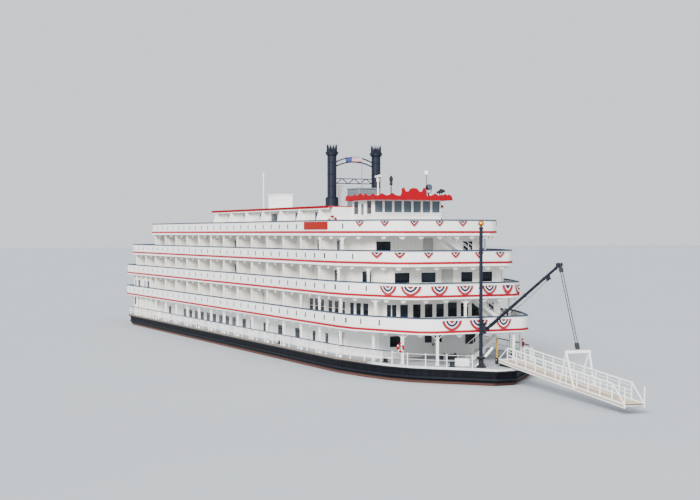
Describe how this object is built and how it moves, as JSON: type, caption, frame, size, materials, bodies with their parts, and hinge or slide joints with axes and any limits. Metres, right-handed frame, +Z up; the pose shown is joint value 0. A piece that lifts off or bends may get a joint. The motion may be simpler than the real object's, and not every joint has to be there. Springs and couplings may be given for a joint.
{
  "type": "1:10 scale model of a sternwheel paddle boat",
  "caption": "Passenger river boat with stacked railed decks, a stern paddle wheel, chimneys, a pilothouse and a landing stage hung from a boom over the bow.",
  "frame": {"origin": "on the flat bottom of the hull, on the centreline, amidships", "axes": "+X to the bow, +Y to port, +Z up"},
  "size_m": [10.5149, 1.6, 2.2249],
  "materials": {
    "hull_black": "satin black hull paint, dulled and streaked at the waterline",
    "deck_grey": "matt grey deck and fitting paint",
    "white_paint": "semi-gloss white paint",
    "red_paint": "gloss red paint",
    "navy_paint": "satin dark navy paint",
    "fittings_black": "satin black paint",
    "bare_steel": "greased bare steel",
    "gilt": "weathered gilt"
  },
  "bodies": {
    "boat": {"hull": "hull_black", "main_deck": "deck_grey", "deck_2": "white_paint", "deck_3": "white_paint", "deck_4": "white_paint", "deck_5": "white_paint", "main_rail_starboard": "white_paint", "main_rail_port": "white_paint", "rail_2": "white_paint", "rail_3": "white_paint", "rail_4": "white_paint", "rail_5": "white_paint", "house_main": "white_paint", "house_2": "white_paint", "house_3": "white_paint", "house_4": "white_paint", "house_5": "white_paint", "roof_5": "red_paint", "pilothouse": "white_paint", "pilothouse_roof": "red_paint", "stack_starboard": "navy_paint", "stack_port": "navy_paint", "stack_arch": "navy_paint", "stack_lattice": "navy_paint", "louvre_box": "deck_grey", "vent_trunk": "white_paint", "roof_locker": "white_paint", "aerial_mast": "white_paint", "radar_post": "white_paint", "lantern_post": "fittings_black", "light_post": "white_paint", "searchlight": "fittings_black", "front_post": "white_paint", "stair_to_deck_2": "white_paint", "stair_to_deck_3": "white_paint", "stair_to_deck_5": "white_paint", "mast": "navy_paint", "mast_ball": "gilt", "stage_pedestal": "fittings_black", "wheel_arm_starboard": "red_paint", "wheel_arm_port": "red_paint", "capstan": "deck_grey", "engine_house": "white_paint", "flagstaff": "white_paint"},
    "wheel": {"paddle_wheel": "red_paint", "wheel_shaft_starboard": "bare_steel", "wheel_shaft_port": "bare_steel"},
    "rudder_starboard": {"rudder_starboard": "hull_black"},
    "rudder_port": {"rudder_port": "hull_black"},
    "gooseneck": {"gooseneck": "navy_paint"},
    "boom": {"boom": "navy_paint"},
    "fall": {"hoist_fall": "fittings_black"},
    "turntable": {"stage_turntable": "fittings_black"},
    "stage": {"landing_stage": "white_paint", "stage_lifting_frame": "white_paint"},
    "radar": {"radar_scanner": "white_paint"},
    "pilothouse_door_starboard": {"pilothouse_door_starboard": "white_paint"},
    "pilothouse_door_port": {"pilothouse_door_port": "white_paint"},
    "foredeck_door_starboard": {"foredeck_door_starboard": "white_paint"},
    "foredeck_door_port": {"foredeck_door_port": "white_paint"}
  },
  "joints": [
    {"name": "wheel_spin", "type": "hinge", "parent": "boat", "child": "wheel", "pos_m": [-4.56, 0, 0.51], "axis": [0, 1, 0], "continuous": true},
    {"name": "rudder_starboard_turn", "type": "hinge", "parent": "boat", "child": "rudder_starboard", "pos_m": [-3.86, -0.34, 0.1], "axis": [0, 0, 1], "range_deg": [-35, 35]},
    {"name": "rudder_port_turn", "type": "hinge", "parent": "boat", "child": "rudder_port", "pos_m": [-3.86, 0.34, 0.1], "axis": [0, 0, 1], "range_deg": [-35, 35]},
    {"name": "stage_swing", "type": "hinge", "parent": "boat", "child": "turntable", "pos_m": [3.61, 0.13, 0.36], "axis": [0, 0, 1], "range_deg": [-40, 40]},
    {"name": "stage_lift", "type": "hinge", "parent": "turntable", "child": "stage", "pos_m": [3.61, 0.13, 0.39], "axis": [-0.1184, -0.993, 0], "range_deg": [0, 33]},
    {"name": "boom_slew", "type": "hinge", "parent": "boat", "child": "gooseneck", "pos_m": [3.485, 0, 0.63], "axis": [0, 0, 1], "range_deg": [-40, 40]},
    {"name": "boom_luff", "type": "hinge", "parent": "gooseneck", "child": "boom", "pos_m": [3.527, -0.0002, 0.63], "axis": [-0.0049, -1, 0], "range_deg": [0, 35]},
    {"name": "fall_swing", "type": "hinge", "parent": "boom", "child": "fall", "pos_m": [4.5391, -0.00513, 1.15463], "axis": [-0.0049, -1, 0], "range_deg": [-15, 5]},
    {"name": "radar_spin", "type": "hinge", "parent": "boat", "child": "radar", "pos_m": [1.84, -0.12, 1.88], "axis": [0, 0, 1], "continuous": true},
    {"name": "pilothouse_door_starboard_swing", "type": "hinge", "parent": "boat", "child": "pilothouse_door_starboard", "pos_m": [1.9303, -0.335, 1.5], "axis": [0, 0, -1], "range_deg": [0, 100]},
    {"name": "pilothouse_door_port_swing", "type": "hinge", "parent": "boat", "child": "pilothouse_door_port", "pos_m": [1.9303, 0.335, 1.5], "axis": [0, 0, 1], "range_deg": [0, 100]},
    {"name": "foredeck_door_starboard_swing", "type": "hinge", "parent": "boat", "child": "foredeck_door_starboard", "pos_m": [2.65, -0.0947, 0.44], "axis": [0, 0, -1], "range_deg": [0, 100]},
    {"name": "foredeck_door_port_swing", "type": "hinge", "parent": "boat", "child": "foredeck_door_port", "pos_m": [2.65, 0.0947, 0.44], "axis": [0, 0, 1], "range_deg": [0, 100]}
  ],
  "couplings": [
    {"joint": "rudder_port_turn", "follows": "rudder_starboard_turn", "ratio": 1},
    {"joint": "boom_slew", "follows": "stage_swing", "ratio": 0.92},
    {"joint": "boom_luff", "follows": "stage_lift", "ratio": 1.05},
    {"joint": "fall_swing", "follows": "stage_lift", "ratio": -0.4}
  ]
}
